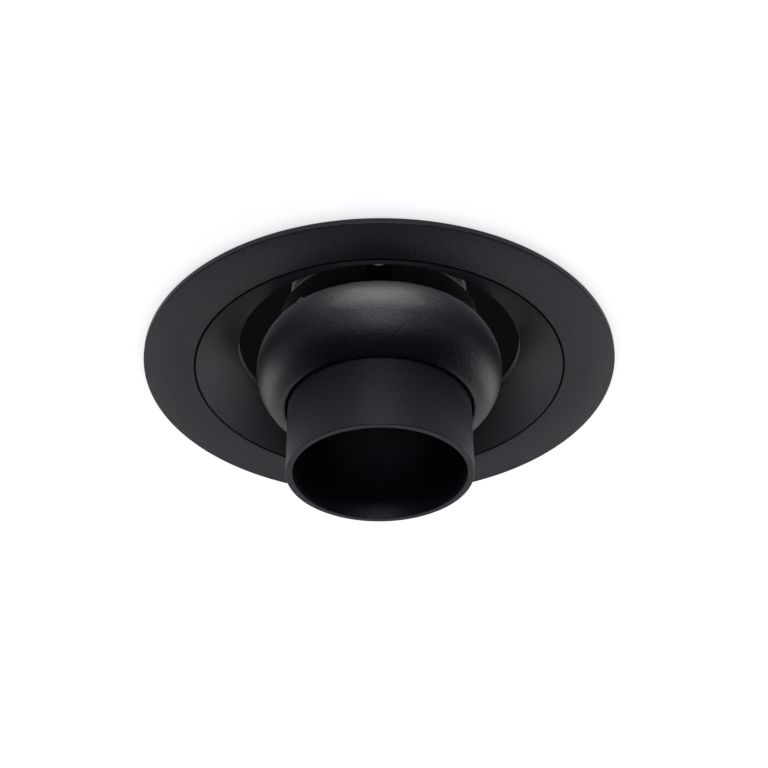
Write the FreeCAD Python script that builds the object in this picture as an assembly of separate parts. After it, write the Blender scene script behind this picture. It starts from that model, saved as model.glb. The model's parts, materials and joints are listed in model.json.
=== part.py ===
import FreeCAD, Part
import math
import os

# Adjustable recessed soffit downlight: a round trim with a swivelling cone ring, a ball that tilts
# in it and a snoot that slides in the ball. Millimetres. The origin is on the soffit's surface,
# on the light's own axis, and +Z goes up into the soffit.

V = FreeCAD.Vector
UP = V(0, 0, 1)
FRONT = V(0, 1, 0)
SIDE = V(1, 0, 0)
CENTRE = V(0, 0, 0)

# Clearances
slip = 0.05                      # running fit, on the radius
loose = 0.3                      # between pieces that pass each other
seat = 0.05                      # between pieces that are stacked

# Snoot: the tube that slides in the ball's collar
snoot_radius = 27.5
snoot_wall = 2.0
snoot_reach = 35.2               # its mouth, below the trim's face
snoot_travel = 20.0
snoot_edge = 0.35
snoot_bore = snoot_radius - snoot_wall

# Ball: a donut-shaped shell round the collar that guides the snoot
collar_gap = 0.65
collar_wall = 2.45
collar_height = 6.5              # above the tilt axis
ball_lip = 0.85
ball_circle_inset = 5.8          # centre of its round section, inside the snoot's surface
ball_section_radius = 15.5
ball_height = 0.8                # its widest circle, above the trim's face
ball_wall = 2.0
ball_top_angle = 35.0
tilt_height = 14.1               # the tilt axis, above the trim's face
ball_circle_radius = snoot_radius - ball_circle_inset
collar_bore = snoot_radius + collar_gap
collar_outer = collar_bore + collar_wall
lip_outer = collar_bore + ball_lip

# Swivel ring: a shallow cone that rises inwards from the flange's face
ball_gap = 5.8                   # round the ball's widest circle
cone_width = 12.5
cone_rise = 8.6
cone_thickness = 2.0
cone_rim_height = 3.0
cone_rim_wall = 2.2
lip_width = 1.6
lip_thickness = 1.6
lip_gap = 0.2
dog_width = 3.0
dog_length = 3.5
dog_inset = 0.1
cone_inner_radius = ball_circle_radius + ball_section_radius + ball_gap
ring_radius = cone_inner_radius + cone_width
lip_radius = ring_radius + lip_width

# Trim
ring_gap = 0.5
neck_wall = 1.7
neck_height = 13.0
flange_overhang = 12.0           # beyond the neck
flange_thickness = 2.0
flange_edge = 0.3
gasket_thickness = 0.6
gasket_inset = 2.0               # from the flange's edge
gasket_neck_gap = 4.0
swivel_washer_thickness = 0.4
wave_washer_thickness = 0.5
retaining_ring_thickness = 1.2
retaining_ring_depth = 0.8
retaining_ring_opening = 8.0
stop_pin_radius = 1.25
stop_pin_length = 4.5
stop_angle = 45.0
flange_bore = ring_radius + ring_gap
neck_inner = lip_radius + lip_gap
neck_outer = neck_inner + neck_wall
flange_radius = neck_outer + flange_overhang

# Heights, all from the soffit's surface
face_z = -(gasket_thickness + flange_thickness)
ledge_z = -gasket_thickness
lip_z = ledge_z + swivel_washer_thickness + seat
wave_washer_z = lip_z + lip_thickness + seat
retaining_ring_z = wave_washer_z + wave_washer_thickness + seat
stop_pin_z = retaining_ring_z + retaining_ring_thickness + stop_pin_radius + loose
cone_edge_z = face_z + cone_rise
tilt_z = face_z + tilt_height
ball_z = face_z + ball_height
lip_angle = -math.degrees(math.acos((lip_outer - ball_circle_radius) / ball_section_radius))
ball_mouth_z = ball_z + ball_section_radius * math.sin(math.radians(lip_angle))
collar_top_z = tilt_z + collar_height
mouth_z = face_z - snoot_reach

# Guides and stops of the slide
guide_ring_height = 3.0
guide_ring_depth = 0.9
o_ring_section = 0.9
o_ring_rise = 1.0                # above the widest circle of the ball
lower_guide_depth = 6.5          # below the widest circle of the ball
upper_guide_drop = 2.5           # below the collar's top
guide_screw_radius = 1.5
guide_screw_drop = 3.5           # below the tilt axis
guide_screw_angle = 225.0
guide_screw_stand = 2.4          # out of the collar
guide_screw_tip_gap = 0.4        # from the snoot's bore
slot_clearance = 0.05
stop_ring_height = 1.2
stop_ring_width = 2.7
stop_ring_groove = 0.6
stop_ring_opening = 4.0
guide_groove = collar_bore + guide_ring_depth + slip
lower_guide_z = ball_z - lower_guide_depth
upper_guide_z = collar_top_z - upper_guide_drop - guide_ring_height
o_ring_z = ball_z + o_ring_rise
guide_screw_z = tilt_z - guide_screw_drop
guide_screw_end = collar_outer + guide_screw_stand
stop_ring_z = collar_top_z + loose

# Tilt pivot: a boss on the ball turns against an ear of the swivel ring, on a shoulder screw
boss_radius = 4.6
ear_step = 0.6                   # inside the cone's inner edge
ear_foot = 0.6                   # above the cone's inner edge
ear_thickness = 2.8
ear_radius = 5.6
pivot_washer_thickness = 0.8
tension_washer_thickness = 0.75
pivot_shoulder_radius = 2.5
pivot_thread_radius = 2.0
pivot_thread_length = 7.5
pivot_head_radius = 4.0
pivot_head_height = 2.2
pivot_socket_flats = 4.0
ear_inner = cone_inner_radius - ear_step
boss_face = ear_inner - pivot_washer_thickness - 2 * seat

# Light engine, stacked upwards inside the snoot
lens_depth = 36.0                # from the mouth to the lens's retaining ring
lens_ring_height = 2.0
lens_ring_width = 2.7
lens_notch = 2.0                 # for the key that screws it in
glass_thickness = 2.5
seal_thickness = 0.8
seal_width = 1.6
reflector_height = 11.9
reflector_wall = 1.2
reflector_rim = 1.2
reflector_neck = 8.8
reflector_belly = 2.6
holder_height = 6.2
holder_lip = 1.0
holder_opening = 8.5
holder_bevel = 0.8
board_radius = 15.5
board_thickness = 1.6
emitter_radius = 7.5
emitter_thickness = 0.6
pad_thickness = 0.5
top_flange_thickness = 2.5
top_flange_width = 5.5

# Heat sink
sink_seal_thickness = 0.5
sink_base_thickness = 4.0
sink_spigot_radius = 15.5
fin_count = 20
fin_thickness = 1.6
fin_height = 24.0
core_radius = 9.0
core_height = 15.4
well_radius = 10.5
lead_bore = 3.8
sink_screw_inset = 4.7
sink_screw_count = 3
sink_screw_angle = 30.0

lens_ring_z = mouth_z + lens_depth
glass_z = lens_ring_z + lens_ring_height + seat
seal_z = glass_z + glass_thickness + seat
reflector_z = seal_z + seal_thickness + seat
holder_z = reflector_z + reflector_height + seat
board_z = holder_z + holder_lip + seat
pad_z = board_z + board_thickness + seat
spigot_z = pad_z + pad_thickness + seat
top_flange_z = holder_z + holder_height + seat
snoot_top_z = top_flange_z + top_flange_thickness
sink_z = snoot_top_z + sink_seal_thickness + 2 * seat
fins_z = sink_z + sink_base_thickness
core_top_z = fins_z + core_height
inner_fit = snoot_bore - slip
top_flange_bore = snoot_bore - top_flange_width
sink_screw_circle = snoot_radius - sink_screw_inset

# Cable gland
cable_bore = 3.2
gland_flats = 14.0
gland_hex_height = 5.0
gland_thread_radius = 5.0
gland_thread_height = 5.5
gland_nut_flats = 15.0
gland_nut_height = 8.5
gland_seal_wall = 0.9
gland_nut_flat_height = 4.0
gland_nose_wall = 1.6
gland_roof = 2.4
gland_z = core_top_z + seat
gland_top_z = gland_z + gland_hex_height + gland_thread_height
gland_bore = cable_bore + gland_seal_wall
gland_nut_bore = cable_bore + loose

# Spring clips, one on each side
bracket_sheet = 1.0
bracket_width = 14.6
bracket_base_z = 1.5
bracket_ear_rise = 3.0
bracket_ear_back = 3.5           # behind the hinge pin
bracket_ear_top = 2.5            # above the hinge pin
bracket_ear_margin = 0.6
bracket_top_drop = 3.9           # from the hinge pin down to the base plate's top edge
pad_reach = 0.4                  # how far the flat pad stands out from the neck
spring_wire = 0.8
spring_radius = 2.1
spring_turns = 5
spring_space = 0.45
spring_leg_share = 0.35          # of the arm's length, for the leg that lies on it
spring_foot = 2.7                # length of the leg that rests on the bracket
spring_foot_slope = 40.0
clip_height = 20.0
clip_pin_radius = 1.25
clip_pin_head_radius = 2.2
clip_pin_head = 0.9
clip_slope = 26.0
clip_length = 34.0
clip_plate_start = 3.0           # from the hinge pin along the arm
clip_heel = 0.8
clip_width = 12.0
clip_sheet = 1.0
clip_lug_radius = 2.9
rubber_length = 9.5
rubber_wall = 1.1
rubber_edge = 0.5
pad_face_x = neck_outer + pad_reach
clip_x = pad_face_x - spring_wire / 2 + spring_radius
clip_plate = -(spring_radius + spring_wire / 2 + seat)   # its upper face, from the pin's centre

# Screws
m3_radius = 1.5
m3_head_radius = 2.6
m3_head_height = 1.6
socket_floor = 0.4               # share of a head's height that is left under its socket
bracket_screw_spacing = 7.0
bracket_screw_z = 7.0
bracket_screw_length = 3.4


def disc(radius, bottom, top, x=0.0, y=0.0):
    return Part.makeCylinder(radius, top - bottom, V(x, y, bottom), UP)


def ring(inner, outer, bottom, top):
    return disc(outer, bottom, top).cut(disc(inner, bottom - 1, top + 1))


def box(x0, x1, y0, y1, z0, z1):
    return Part.makeBox(x1 - x0, y1 - y0, z1 - z0, V(x0, y0, z0))


def revolved(edges):
    """A solid of revolution about Z from an outline of edges in the XZ plane."""
    face = Part.Face(Part.Wire(Part.__sortEdges__(edges)))
    return face.revolve(CENTRE, UP, 360)


def lines(*points):
    """Straight edges through points given as (radius, height)."""
    corners = [V(r, 0, z) for r, z in points]
    return [Part.makeLine(a, b) for a, b in zip(corners, corners[1:])]


def lathe(*points):
    return revolved(lines(*points, points[0]))


def hexagon(flats, bottom, top):
    corner = flats / math.sqrt(3)
    points = [V(corner * math.cos(a), corner * math.sin(a), bottom)
              for a in (math.radians(60 * i) for i in range(7))]
    return Part.Face(Part.makePolygon(points)).extrude(V(0, 0, top - bottom))


def turned(shape, angle, axis=UP, about=CENTRE):
    copy = shape.copy()
    copy.rotate(about, axis, angle)
    return copy


def around(shape, count, start=0.0):
    return [turned(shape, start + 360.0 * i / count) for i in range(count)]


def group(shapes):
    return Part.makeCompound(shapes)


def front_and_back(shape):
    return group([shape, turned(shape, 180)])


def socket_screw(radius, length, head_radius, head_height):
    """A screw along +Z whose head rests on Z = 0, with its shank below and a socket in its head."""
    screw = disc(radius, -length, 0).fuse(disc(head_radius, 0, head_height)).removeSplitter()
    socket = hexagon(head_radius, head_height * socket_floor, head_height + 1)
    return screw.cut(socket)


def placed(shape, direction, position):
    copy = shape.copy()
    copy.Placement = FreeCAD.Placement(position, FreeCAD.Rotation(UP, direction))
    return copy


# Trim and what is fixed to it

def trim_ring():
    chamfer = flange_edge
    body = lathe(
        (flange_bore, face_z), (flange_radius - chamfer, face_z), (flange_radius, face_z + chamfer),
        (flange_radius, ledge_z), (neck_outer, ledge_z), (neck_outer, neck_height),
        (neck_inner, neck_height), (neck_inner, ledge_z), (flange_bore, ledge_z))
    half = bracket_width / 2
    pads = box(neck_inner, pad_face_x, -half, half, bracket_base_z, neck_height)
    pads = pads.cut(disc(neck_inner + neck_wall / 2, -1, neck_height + 1))
    body = body.fuse(pads).fuse(turned(pads, 180)).removeSplitter()
    groove = ring(neck_inner - 1, neck_inner + retaining_ring_depth + slip,
                  retaining_ring_z - slip, retaining_ring_z + retaining_ring_thickness + slip)
    body = body.cut(groove)
    pin_hole = Part.makeCylinder(stop_pin_radius, 2 * neck_wall, V(neck_inner - 1, 0, stop_pin_z), SIDE)
    body = body.cut(turned(pin_hole, stop_angle))
    for screw in bracket_screw_axes():
        hole = Part.makeCylinder(m3_radius, bracket_screw_length + 1, screw, SIDE)
        hole.translate(V(-bracket_screw_length, 0, 0))
        body = body.cut(hole).cut(turned(hole, 180))
    return body


def soffit_gasket():
    return ring(neck_outer + gasket_neck_gap, flange_radius - gasket_inset, ledge_z, 0)


def swivel_washer():
    return ring(flange_bore + slip, lip_radius - slip, ledge_z, ledge_z + swivel_washer_thickness)


def wave_washer():
    return ring(flange_bore, lip_radius, wave_washer_z, wave_washer_z + wave_washer_thickness)


def retaining_ring():
    whole = ring(flange_bore, neck_inner + retaining_ring_depth,
                 retaining_ring_z, retaining_ring_z + retaining_ring_thickness)
    half = retaining_ring_opening / 2
    return whole.cut(box(-neck_outer, 0, -half, half, 0, neck_height))


def swivel_stop_pin():
    pin = Part.makeCylinder(stop_pin_radius, neck_outer - neck_inner + stop_pin_length,
                            V(neck_inner - stop_pin_length, 0, stop_pin_z), SIDE)
    return turned(pin, stop_angle)


# Spring clips, made on the +X side

def bracket_screw_axes():
    reach = pad_face_x + bracket_sheet
    return [V(reach, side * bracket_screw_spacing / 2, bracket_screw_z) for side in (-1, 1)]


def clip_bracket():
    half = bracket_width / 2
    outside = pad_face_x + bracket_sheet
    plate = box(pad_face_x, outside, -half, half, bracket_base_z, clip_height - bracket_top_drop)
    reach = clip_x + clip_lug_radius + bracket_ear_margin
    back = clip_x - bracket_ear_back
    over_neck = neck_height + loose
    low = bracket_base_z + bracket_ear_rise
    top = clip_height + bracket_ear_top
    profile = [(pad_face_x, low), (outside, low), (reach, over_neck - bracket_ear_rise),
               (reach, top), (back, top), (back, over_neck), (pad_face_x, over_neck)]
    corners = [V(x, 0, z) for x, z in profile + profile[:1]]
    ear = Part.Face(Part.makePolygon(corners)).extrude(V(0, bracket_sheet, 0))
    bracket = plate
    for inner in (-half, half - bracket_sheet):
        side = ear.copy()
        side.translate(V(0, inner, 0))
        bracket = bracket.fuse(side)
    bracket = bracket.removeSplitter()
    pin_hole = Part.makeCylinder(clip_pin_radius, bracket_width + 2,
                                 V(clip_x, -half - 1, clip_height), FRONT)
    bracket = bracket.cut(pin_hole)
    for screw in bracket_screw_axes():
        hole = Part.makeCylinder(m3_radius + slip, 3 * bracket_sheet, screw, SIDE)
        hole.translate(V(-2 * bracket_sheet, 0, 0))
        bracket = bracket.cut(hole)
    return bracket


def clip_pin():
    half = bracket_width / 2
    pin = Part.makeCylinder(clip_pin_radius, bracket_width, V(clip_x, -half, clip_height), FRONT)
    for start in (-half - clip_pin_head, half):
        pin = pin.fuse(Part.makeCylinder(clip_pin_head_radius, clip_pin_head,
                                         V(clip_x, start, clip_height), FRONT))
    return pin.removeSplitter()


def bracket_screws():
    screw = socket_screw(m3_radius, bracket_screw_length, m3_head_radius, m3_head_height)
    pair = [placed(screw, SIDE, position) for position in bracket_screw_axes()]
    return group(pair + [turned(one, 180) for one in pair])


def clip_placed(shape):
    """Moves a clip piece from its own frame, pin at the origin and arm along +X, to its slope."""
    copy = turned(shape, clip_slope, FRONT)
    copy.translate(V(clip_x, 0, clip_height))
    return copy


def clip_arm():
    half = clip_width / 2
    top = clip_plate
    arm = box(clip_plate_start, clip_length, -half, half, top - clip_sheet, top)
    web_end = 3 * clip_lug_radius
    for inner in (-half, half - clip_sheet):
        lug = Part.makeCylinder(clip_lug_radius, clip_sheet, V(0, inner, 0), FRONT)
        web = box(0, web_end, inner, inner + clip_sheet, top - clip_sheet, clip_lug_radius)
        corners = [(clip_lug_radius, clip_lug_radius + 1), (web_end + 1, clip_lug_radius + 1),
                   (web_end + 1, top), (web_end, top), (clip_lug_radius, clip_lug_radius + 1)]
        slope_cut = Part.Face(Part.makePolygon([V(x, inner - 1, z) for x, z in corners]))
        slope_cut = slope_cut.extrude(V(0, clip_sheet + 2, 0))
        heel_cut = box(-1, clip_heel, inner - 1, inner + clip_sheet + 1, top - 2 * clip_sheet,
                       -clip_lug_radius * 0.8)
        arm = arm.fuse(lug.fuse(web.cut(slope_cut).cut(heel_cut)))
    arm = arm.removeSplitter()
    bore = Part.makeCylinder(clip_pin_radius + slip, clip_width + 2, V(0, -half - 1, 0), FRONT)
    return clip_placed(arm.cut(bore))


def clip_rubber():
    half = clip_width / 2
    start = clip_length - rubber_length + rubber_wall
    top = clip_plate
    outside = box(start, clip_length + rubber_wall, -half - rubber_wall, half + rubber_wall,
                  top - clip_sheet - rubber_wall, top + rubber_wall)
    outside = outside.makeFillet(rubber_edge, outside.Edges)
    pocket = box(start - 1, clip_length + seat, -half - seat, half + seat,
                 top - clip_sheet - seat, top + seat)
    return clip_placed(outside.cut(pocket))


def biarc(start, start_way, end, end_way):
    """Two tangent arcs from start to end, along the two given directions."""
    chord = end - start
    ways = start_way + end_way
    spread = 2 * (1 - start_way.dot(end_way))
    along = chord.dot(ways)
    reach = (math.sqrt(along ** 2 + spread * chord.dot(chord)) - along) / spread
    joint = (start + end + (start_way - end_way) * reach) * 0.5
    return [tangent_arc(start, joint, start + start_way * reach),
            tangent_arc(joint, end, end - end_way * reach)]


def tangent_arc(start, end, corner):
    """The arc from start to end whose tangents meet at corner."""
    middle = (start + end) * 0.5
    rise = corner - middle
    half_chord = (end - start).Length / 2
    half_turn = math.atan(rise.Length / half_chord)
    bulge = half_chord * math.tan(half_turn / 2)
    return Part.Arc(start, middle + rise * (bulge / rise.Length), end).toShape()


def coil_point(turn):
    """A point of the spring's centre line and its direction, after so many turns."""
    pitch = spring_wire + spring_space
    angle = 2 * math.pi * turn
    start = -pitch * spring_turns / 2
    point = V(-spring_radius * math.sin(angle), start + pitch * turn, -spring_radius * math.cos(angle))
    way = V(-spring_radius * math.cos(angle), pitch / (2 * math.pi), spring_radius * math.sin(angle))
    return point, way.normalize()


def clip_spring():
    """A torsion spring round the hinge pin: one leg lies on the arm, the other on the bracket."""
    turns = spring_turns - (clip_slope + spring_foot_slope) / 360.0
    steps = 4 * spring_turns
    stations = [turns * i / steps for i in range(steps + 1)]
    knots = [coil_point(turn) for turn in stations]
    arm_leg = knots[0][0] - knots[0][1] * (clip_length * spring_leg_share)
    foot = knots[-1][0] + knots[-1][1] * spring_foot
    edges = [Part.makeLine(arm_leg, knots[0][0])]
    for (start, start_way), (end, end_way) in zip(knots, knots[1:]):
        edges += biarc(start, start_way, end, end_way)
    edges.append(Part.makeLine(knots[-1][0], foot))
    path = Part.Wire(edges)
    profile = Part.Wire(Part.Circle(arm_leg, knots[0][1], spring_wire / 2).toShape())
    spring = path.makePipeShell([profile], True, False)
    gap = least_coil_gap()
    print(f"clip spring: volume {spring.Volume:.2f}, section times length "
          f"{path.Length * math.pi * (spring_wire / 2) ** 2:.2f}, least gap to itself {gap:.2f}")
    return clip_placed(spring)


def least_coil_gap():
    samples = 36
    points = [coil_point(i / samples)[0] for i in range(samples * spring_turns + 1)]
    apart = min((a - b).Length for i, a in enumerate(points) for b in points[i + samples // 2:])
    return apart - spring_wire


# Swivel ring

def cone_z(radius):
    """Height of the cone's lower face at a radius."""
    return face_z + cone_rise * (ring_radius - radius) / (ring_radius - cone_inner_radius)


def swivel_ring():
    slope = math.atan(cone_rise / (ring_radius - cone_inner_radius))
    lift = cone_thickness / math.cos(slope)
    rim_outer = cone_inner_radius + cone_rim_wall
    rim_top = cone_edge_z + cone_rim_height
    lip_top = lip_z + lip_thickness
    inner_lip = ring_radius - (lip_top - face_z - lift) / math.tan(slope)
    body = lathe(
        (ring_radius, face_z), (cone_inner_radius, cone_edge_z), (cone_inner_radius, rim_top),
        (rim_outer, rim_top), (rim_outer, cone_z(rim_outer) + lift), (inner_lip, lip_top),
        (lip_radius, lip_top), (lip_radius, lip_z), (ring_radius, lip_z))
    foot_z = cone_edge_z + ear_foot
    ear = box(-ear_radius, ear_radius, ear_inner, ear_inner + ear_thickness, foot_z, tilt_z)
    ear = ear.fuse(Part.makeCylinder(ear_radius, ear_thickness, V(0, ear_inner, tilt_z), FRONT)
                   .common(box(-ear_radius, ear_radius, ear_inner - 1, ear_inner + ear_thickness + 1,
                               tilt_z - 1, tilt_z + ear_radius + 1)))
    hole = Part.makeCylinder(pivot_shoulder_radius + slip, 2 * ear_thickness,
                             V(0, ear_inner - 1, tilt_z), FRONT)
    ear = ear.cut(hole)
    dog_back = -ring_radius + dog_inset
    dog = box(dog_back, dog_back + dog_length, -dog_width / 2, dog_width / 2,
              lip_z, stop_pin_z + stop_pin_radius)
    body = body.fuse(ear).fuse(turned(ear, 180)).fuse(turned(dog, stop_angle))
    return body.removeSplitter()


# Ball and what rides in it

def ball_point(radius, angle):
    a = math.radians(angle)
    return V(ball_circle_radius + radius * math.cos(a), 0, ball_z + radius * math.sin(a))


def ball_shell():
    outer = ball_section_radius
    inner = outer - ball_wall
    meet = -math.degrees(math.acos((collar_outer - ball_circle_radius) / inner))
    mouth = ball_point(outer, lip_angle)
    crest = ball_point(outer, ball_top_angle)
    inner_crest = ball_point(inner, ball_top_angle)
    root = ball_point(inner, meet)
    skin = Part.Arc(mouth, ball_point(outer, (lip_angle + ball_top_angle) / 2), crest).toShape()
    lining = Part.Arc(inner_crest, ball_point(inner, (meet + ball_top_angle) / 2), root).toShape()
    outline = [skin, Part.makeLine(crest, inner_crest), lining]
    outline += lines((root.x, root.z), (collar_outer, collar_top_z), (collar_bore, collar_top_z),
                     (collar_bore, mouth.z), (mouth.x, mouth.z))
    body = revolved(outline)
    boss = Part.makeCylinder(boss_radius, boss_face - collar_bore, V(0, collar_bore, tilt_z), FRONT)
    boss = boss.cut(disc(collar_bore + collar_wall / 2, ball_mouth_z, collar_top_z + 1))
    body = body.fuse(boss).fuse(turned(boss, 180)).removeSplitter()
    thread = Part.makeCylinder(pivot_thread_radius, pivot_thread_length + 1,
                               V(0, boss_face - pivot_thread_length, tilt_z), FRONT)
    body = body.cut(thread).cut(turned(thread, 180))
    for bottom in (lower_guide_z, upper_guide_z):
        body = body.cut(ring(snoot_radius, guide_groove, bottom - slip, bottom + guide_ring_height + slip))
    half = o_ring_section + slip
    body = body.cut(ring(snoot_radius, snoot_radius + 2 * half + slip, o_ring_z - half, o_ring_z + half))
    return body.cut(guide_screw_at(m3_radius))


def guide_ring(bottom):
    return ring(snoot_radius + slip, guide_groove - slip, bottom, bottom + guide_ring_height)


def slide_o_ring():
    centre = snoot_radius + slip + o_ring_section
    return Part.makeTorus(centre, o_ring_section, V(0, 0, o_ring_z), UP)


def guide_screw_at(radius):
    """A radial cylinder from the snoot's wall to the guide screw's outer end."""
    start = snoot_radius + collar_gap / 3
    core = Part.makeCylinder(radius, guide_screw_end - start, V(start, 0, guide_screw_z), SIDE)
    return turned(core, guide_screw_angle)


def guide_screw():
    tip = snoot_bore + guide_screw_tip_gap
    dog = Part.makeCylinder(guide_screw_radius - slip, collar_bore - tip, V(tip, 0, guide_screw_z), SIDE)
    socket = placed(hexagon(m3_radius, 0, 2 * m3_radius), SIDE,
                    V(guide_screw_end - m3_radius, 0, guide_screw_z))
    dog = turned(dog, guide_screw_angle)
    return guide_screw_at(m3_radius).fuse(dog).removeSplitter().cut(turned(socket, guide_screw_angle))


def pivot_screws():
    shoulder_end = ear_inner + ear_thickness + tension_washer_thickness + 2 * seat
    shoulder = Part.makeCylinder(pivot_shoulder_radius, shoulder_end - boss_face,
                                 V(0, boss_face, tilt_z), FRONT)
    thread = Part.makeCylinder(pivot_thread_radius, pivot_thread_length,
                               V(0, boss_face - pivot_thread_length, tilt_z), FRONT)
    head = Part.makeCylinder(pivot_head_radius, pivot_head_height, V(0, shoulder_end, tilt_z), FRONT)
    socket = placed(hexagon(pivot_socket_flats, 0, pivot_head_height), FRONT,
                    V(0, shoulder_end + pivot_head_height * socket_floor, tilt_z))
    return front_and_back(shoulder.fuse(thread).fuse(head).removeSplitter().cut(socket))


def pivot_washer(start, thickness, radius):
    whole = Part.makeCylinder(radius, thickness, V(0, start, tilt_z), FRONT)
    hole = Part.makeCylinder(pivot_shoulder_radius + slip, thickness + 2, V(0, start - 1, tilt_z), FRONT)
    return front_and_back(whole.cut(hole))


# Snoot and the light engine inside it

def snoot_tube():
    edge = snoot_edge
    tube = lathe(
        (snoot_bore, mouth_z), (snoot_radius - edge, mouth_z), (snoot_radius, mouth_z + edge),
        (snoot_radius, snoot_top_z), (top_flange_bore, snoot_top_z), (top_flange_bore, top_flange_z),
        (snoot_bore, top_flange_z))
    tube = tube.cut(ring(snoot_radius - stop_ring_groove, snoot_radius + 1,
                         stop_ring_z - slip, stop_ring_z + stop_ring_height + slip))
    half = guide_screw_radius + slot_clearance
    low = guide_screw_z - snoot_travel
    slot = box(snoot_bore - 1, snoot_radius + 1, -half, half, low, guide_screw_z)
    for z in (low, guide_screw_z):
        slot = slot.fuse(Part.makeCylinder(half, snoot_wall + 2, V(snoot_bore - 1, 0, z), SIDE))
    tube = tube.cut(turned(slot, guide_screw_angle))
    return tube.cut(group(sink_screw_bores(m3_radius, top_flange_z - 1, snoot_top_z + 1)))


def stop_ring():
    inner = snoot_radius - stop_ring_groove + slip
    whole = ring(inner, inner + stop_ring_width, stop_ring_z, stop_ring_z + stop_ring_height)
    half = stop_ring_opening / 2
    return whole.cut(box(-2 * snoot_radius, 0, -half, half, collar_top_z, snoot_top_z))


def sink_screw_bores(radius, bottom, top):
    return around(disc(radius, bottom, top, sink_screw_circle), sink_screw_count, sink_screw_angle)


def lens_retaining_ring():
    bottom, top = lens_ring_z, lens_ring_z + lens_ring_height
    body = ring(inner_fit - lens_ring_width, inner_fit, bottom, top)
    inner = inner_fit - lens_ring_width
    half = lens_notch / 2
    notch = box(inner - half, inner + half, -half, half, bottom - 1, bottom + lens_ring_height / 2)
    return body.cut(group(around(notch, 4)))


def front_glass():
    return disc(inner_fit, glass_z, glass_z + glass_thickness)


def glass_seal():
    return ring(inner_fit - seal_width, inner_fit, seal_z, seal_z + seal_thickness)


def reflector():
    """A bowl that opens downwards, with a rim that presses on the seal."""
    top = reflector_z + reflector_height
    rim_top = reflector_z + reflector_rim
    mouth = inner_fit - seal_width
    inner_mid = V((mouth + reflector_neck) / 2 + reflector_belly, 0, (rim_top + top) / 2)
    outer_mid = inner_mid + V(reflector_wall, 0, reflector_wall * 0.4)
    inside = Part.Arc(V(mouth, 0, reflector_z), inner_mid, V(reflector_neck, 0, top)).toShape()
    outside = Part.Arc(V(reflector_neck + reflector_wall * 1.6, 0, top), outer_mid,
                       V(mouth + reflector_wall * 0.8, 0, rim_top)).toShape()
    outline = [inside, outside]
    outline += lines((reflector_neck, top), (reflector_neck + reflector_wall * 1.6, top))
    outline += lines((mouth + reflector_wall * 0.8, rim_top), (inner_fit, rim_top),
                     (inner_fit, reflector_z), (mouth, reflector_z))
    return revolved(outline)


def led_holder():
    top = holder_z + holder_height
    bore = board_radius + 4 * slip
    return lathe(
        (holder_opening, holder_z), (inner_fit - loose, holder_z), (inner_fit - loose, top), (bore, top),
        (bore, holder_z + holder_lip), (holder_opening + holder_bevel, holder_z + holder_lip))


def led_board():
    return disc(board_radius, board_z, board_z + board_thickness)


def led_emitter():
    return disc(emitter_radius, board_z - emitter_thickness, board_z)


def thermal_pad():
    return disc(board_radius, pad_z, pad_z + pad_thickness)


def heat_sink():
    body = disc(snoot_radius, sink_z, fins_z).fuse(disc(core_radius, fins_z, core_top_z))
    body = body.fuse(disc(sink_spigot_radius, spigot_z, sink_z))
    half = fin_thickness / 2
    fins_top = fins_z + fin_height
    fin = box(core_radius - half, snoot_radius, -half, half, fins_z, fins_top)
    fin = fin.common(disc(snoot_radius, fins_z, fins_top))
    body = body.multiFuse(around(fin, fin_count)).removeSplitter()
    body = body.cut(disc(well_radius, core_top_z, fins_top + 1))
    body = body.cut(disc(lead_bore, spigot_z - 1, core_top_z + 1))
    body = body.cut(group(sink_screw_bores(m3_radius + slip, sink_z - 1, fins_z + 1)))
    return body.cut(group(sink_screw_bores(m3_head_radius + 2 * loose, fins_z, fins_top + 1)))


def heat_sink_seal():
    outer = snoot_radius - loose
    inner = sink_screw_circle + m3_radius + 4 * seat
    return ring(inner, outer, snoot_top_z + seat, snoot_top_z + seat + sink_seal_thickness)


def heat_sink_screws():
    length = fins_z - top_flange_z
    screw = socket_screw(m3_radius, length, m3_head_radius, m3_head_height)
    screw.translate(V(sink_screw_circle, 0, fins_z))
    return group(around(screw, sink_screw_count, sink_screw_angle))


# Cable gland

def gland_body():
    top = gland_z + gland_hex_height
    body = hexagon(gland_flats, gland_z, top).fuse(disc(gland_thread_radius, top, gland_top_z))
    return body.removeSplitter().cut(disc(gland_bore, gland_z - 1, gland_top_z + 1))


def gland_seal():
    return ring(cable_bore, gland_bore - slip, gland_z, gland_top_z)


def gland_nut():
    bottom = gland_z + gland_hex_height + 2 * seat
    top = bottom + gland_nut_height
    nut = hexagon(gland_nut_flats, bottom, top)
    dome = lathe((0, bottom), (gland_nut_flats, bottom), (gland_nut_flats, bottom + gland_nut_flat_height),
                 (gland_nut_bore + gland_nose_wall, top), (0, top))
    nut = nut.common(dome)
    nut = nut.cut(disc(gland_thread_radius + slip, bottom - 1, top - gland_roof))
    return nut.cut(disc(gland_nut_bore, bottom - 1, top + 1))


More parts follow.
